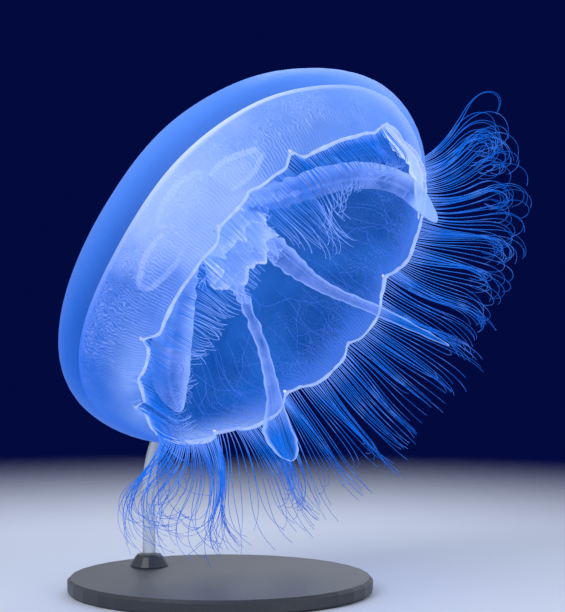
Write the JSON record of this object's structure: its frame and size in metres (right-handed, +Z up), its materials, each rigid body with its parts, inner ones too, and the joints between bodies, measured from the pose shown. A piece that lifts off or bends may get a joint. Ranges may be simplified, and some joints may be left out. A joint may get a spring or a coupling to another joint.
{
  "type": "moon jellyfish",
  "caption": "Life-size moon jellyfish with a translucent domed bell, lobed fringed margin, horseshoe gonads and trailing oral arms, banked on a plain display stand.",
  "frame": {"origin": "centre of the underside of the stand's round base", "axes": "+Z up, the front view looks along +Y with +X to its right; the bell's crown points up, to the left and away, its hollow down, to the right and towards the viewer"},
  "size_m": [0.236, 0.2033, 0.2664],
  "materials": {
    "bell": "clear, wet blue jelly with a brighter edge",
    "margin": "thin milky blue skin with a pale lavender rim and fine strands",
    "gonad": "milky white",
    "arm": "translucent lavender ribbon with pale frilled edges",
    "sense": "small white beads",
    "stand": "satin black",
    "stand_rod": "clear polished acrylic"
  },
  "bodies": {
    "root": {"bell_dome": "bell", "gonad_1": "gonad", "gonad_2": "gonad", "gonad_3": "gonad", "gonad_4": "gonad", "margin_lobe_1": "margin", "margin_lobe_2": "margin", "margin_lobe_3": "margin", "margin_lobe_4": "margin", "margin_lobe_5": "margin", "margin_lobe_6": "margin", "margin_lobe_7": "margin", "margin_lobe_8": "margin", "mouth_stalk": "arm", "oral_arm_1_middle": "arm", "oral_arm_1_tip": "arm", "oral_arm_1_upper": "arm", "oral_arm_2_middle": "arm", "oral_arm_2_tip": "arm", "oral_arm_2_upper": "arm", "oral_arm_3_middle": "arm", "oral_arm_3_tip": "arm", "oral_arm_3_upper": "arm", "oral_arm_4_middle": "arm", "oral_arm_4_tip": "arm", "oral_arm_4_upper": "arm", "sense_organ_1": "sense", "sense_organ_2": "sense", "sense_organ_3": "sense", "sense_organ_4": "sense", "sense_organ_5": "sense", "sense_organ_6": "sense", "sense_organ_7": "sense", "sense_organ_8": "sense", "stand_base": "stand", "stand_collar": "stand", "stand_cup": "stand_rod", "stand_rod": "stand_rod"}
  },
  "joints": []
}
